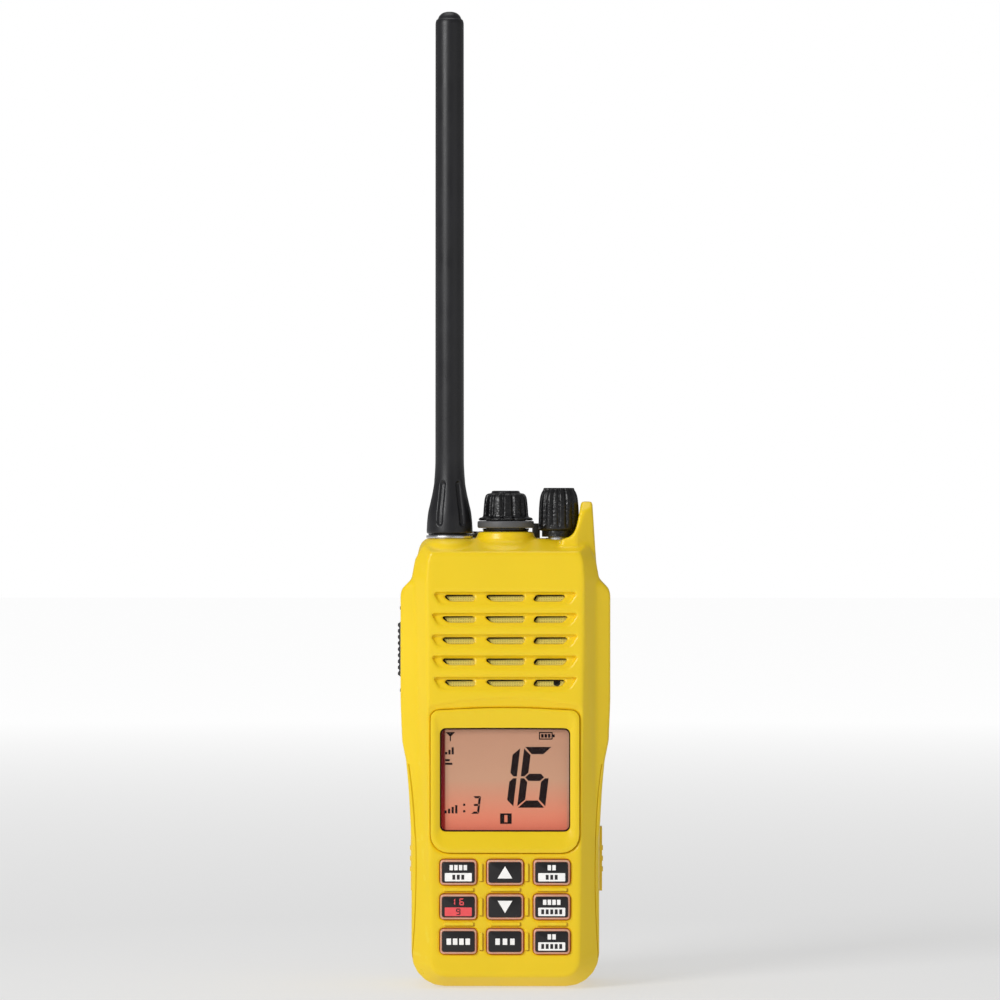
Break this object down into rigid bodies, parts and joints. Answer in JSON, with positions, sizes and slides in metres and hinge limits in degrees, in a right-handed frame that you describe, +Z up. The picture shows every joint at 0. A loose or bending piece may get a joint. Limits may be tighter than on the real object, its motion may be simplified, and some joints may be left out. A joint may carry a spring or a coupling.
{
  "type": "handheld two-way radio",
  "caption": "Yellow handheld VHF two-way radio with slotted speaker front, backlit display, key pad, side talk pad, whip antenna, volume knob, capped jack, clip-on battery and belt clip.",
  "frame": {"origin": "middle of the flat base, on the surface the radio stands on", "axes": "+Z up along the antenna, +X to the right seen from the front, -Y out of the front panel"},
  "size_m": [0.0595, 0.0471, 0.2724],
  "materials": {
    "yellow_case": "satin moulded polycarbonate",
    "black_rubber": "matt moulded rubber",
    "grey_rubber": "matt rubber",
    "black_plastic": "fine spark-eroded grain",
    "key_black": "printed hard key caps",
    "key_silicone": "translucent silicone, lit from behind",
    "clear_window": "clear hard-coated acrylic",
    "lcd": "liquid crystal display, backlit",
    "light_guide": "translucent acrylic",
    "circuit_board": "solder mask",
    "speaker_metal": "plated steel",
    "speaker_cloth": "water-resistant woven membrane",
    "brass": "plated brass",
    "steel": "stainless",
    "copper": "enamelled copper",
    "cell_wrap": "shrink film"
  },
  "bodies": {
    "root": {"front_case": "yellow_case", "case_gasket": "black_rubber", "rear_case": "yellow_case", "case_screws": "steel", "display_bezel": "yellow_case", "display_window": "clear_window", "lcd_panel": "lcd", "light_guide": "light_guide", "keypad_mat": "key_silicone", "dome_switches": "steel", "main_board": "circuit_board", "speaker": "speaker_metal", "speaker_mesh": "speaker_cloth", "microphone": "black_plastic", "volume_pot": "speaker_metal", "antenna_socket": "brass", "antenna_ring": "steel", "jack_socket": "brass", "tether_strap": "grey_rubber", "tether_screw": "steel", "ptt_switch": "black_plastic", "contact_block": "black_plastic"},
    "volume_knob": {"volume_knob": "black_plastic", "pot_shaft": "steel"},
    "cap_carrier": {"tether_ring": "grey_rubber"},
    "jack_cap": {"jack_cap": "black_plastic", "cap_seal": "black_rubber"},
    "antenna_carrier": {"antenna_seal": "black_rubber"},
    "antenna": {"antenna_sleeve": "black_rubber", "antenna_plug": "brass", "antenna_coil": "copper"},
    "ptt_pad": {"ptt_pad": "black_rubber"},
    "key_channel": {"key_channel_frame": "key_silicone", "key_channel_cap": "key_black"},
    "key_up": {"key_up_frame": "key_silicone", "key_up_cap": "key_black"},
    "key_weather": {"key_weather_frame": "key_silicone", "key_weather_cap": "key_black"},
    "key_calling": {"key_calling_frame": "key_silicone", "key_calling_cap": "key_black"},
    "key_down": {"key_down_frame": "key_silicone", "key_down_cap": "key_black"},
    "key_power": {"key_power_frame": "key_silicone", "key_power_cap": "key_black"},
    "key_scan": {"key_scan_frame": "key_silicone", "key_scan_cap": "key_black"},
    "key_memory": {"key_memory_frame": "key_silicone", "key_memory_cap": "key_black"},
    "key_dual": {"key_dual_frame": "key_silicone", "key_dual_cap": "key_black"},
    "battery": {"battery_case": "yellow_case", "battery_cells": "cell_wrap", "battery_contacts": "brass", "latch_springs": "steel", "clip_base": "black_plastic", "clip_pin": "steel", "clip_spring": "steel"},
    "latch_left": {"latch_left": "yellow_case"},
    "latch_right": {"latch_right": "yellow_case"},
    "belt_clip": {"clip_lever": "black_plastic"}
  },
  "joints": [
    {"name": "key_channel_press", "type": "slide", "parent": "root", "child": "key_channel", "axis": [0, 1, 0], "range_m": [0, 0.0007], "stiffness_N_per_m": 900, "springref_m": -0.0003},
    {"name": "key_up_press", "type": "slide", "parent": "root", "child": "key_up", "axis": [0, 1, 0], "range_m": [0, 0.0007], "stiffness_N_per_m": 900, "springref_m": -0.0003},
    {"name": "key_weather_press", "type": "slide", "parent": "root", "child": "key_weather", "axis": [0, 1, 0], "range_m": [0, 0.0007], "stiffness_N_per_m": 900, "springref_m": -0.0003},
    {"name": "key_calling_press", "type": "slide", "parent": "root", "child": "key_calling", "axis": [0, 1, 0], "range_m": [0, 0.0007], "stiffness_N_per_m": 900, "springref_m": -0.0003},
    {"name": "key_down_press", "type": "slide", "parent": "root", "child": "key_down", "axis": [0, 1, 0], "range_m": [0, 0.0007], "stiffness_N_per_m": 900, "springref_m": -0.0003},
    {"name": "key_power_press", "type": "slide", "parent": "root", "child": "key_power", "axis": [0, 1, 0], "range_m": [0, 0.0007], "stiffness_N_per_m": 900, "springref_m": -0.0003},
    {"name": "key_scan_press", "type": "slide", "parent": "root", "child": "key_scan", "axis": [0, 1, 0], "range_m": [0, 0.0007], "stiffness_N_per_m": 900, "springref_m": -0.0003},
    {"name": "key_memory_press", "type": "slide", "parent": "root", "child": "key_memory", "axis": [0, 1, 0], "range_m": [0, 0.0007], "stiffness_N_per_m": 900, "springref_m": -0.0003},
    {"name": "key_dual_press", "type": "slide", "parent": "root", "child": "key_dual", "axis": [0, 1, 0], "range_m": [0, 0.0007], "stiffness_N_per_m": 900, "springref_m": -0.0003},
    {"name": "ptt_press", "type": "slide", "parent": "root", "child": "ptt_pad", "axis": [1, 0, 0], "range_m": [0, 0.0008], "stiffness_N_per_m": 1500, "springref_m": -0.0004},
    {"name": "volume_turn", "type": "hinge", "parent": "root", "child": "volume_knob", "pos_m": [0.0149, -0.006, 0.1248], "axis": [0, 0, -1], "range_deg": [0, 280]},
    {"name": "cap_lift", "type": "slide", "parent": "root", "child": "cap_carrier", "axis": [0, 0, 1], "range_m": [0, 0.003], "deforming": ["tether_strap"]},
    {"name": "cap_turn", "type": "hinge", "parent": "cap_carrier", "child": "jack_cap", "pos_m": [0.00003, -0.006, 0.1248], "axis": [0, 0, 1], "range_deg": [0, 720]},
    {"name": "antenna_lift", "type": "slide", "parent": "root", "child": "antenna_carrier", "axis": [0, 0, 1], "range_m": [0, 0.003]},
    {"name": "antenna_turn", "type": "hinge", "parent": "antenna_carrier", "child": "antenna", "pos_m": [-0.0157, -0.006, 0.1248], "axis": [0, 0, 1], "range_deg": [0, 1080]},
    {"name": "battery_slide", "type": "slide", "parent": "root", "child": "battery", "axis": [0, 1, 0], "range_m": [0, 0.03]},
    {"name": "latch_left_press", "type": "slide", "parent": "battery", "child": "latch_left", "axis": [1, 0, 0], "range_m": [0, 0.0008], "stiffness_N_per_m": 1500, "springref_m": -0.0004},
    {"name": "latch_right_press", "type": "slide", "parent": "battery", "child": "latch_right", "axis": [-1, 0, 0], "range_m": [0, 0.0008], "stiffness_N_per_m": 1500, "springref_m": -0.0004},
    {"name": "clip_open", "type": "hinge", "parent": "battery", "child": "belt_clip", "pos_m": [0, 0.0243, 0.086], "axis": [1, 0, 0], "range_deg": [0, 20], "stiffness_Nm_per_rad": 0.35, "springref_deg": -14.32}
  ],
  "couplings": [
    {"joint": "cap_turn", "follows": "cap_lift", "rad_per_m": 4188.8},
    {"joint": "antenna_turn", "follows": "antenna_lift", "rad_per_m": 6283.2}
  ]
}
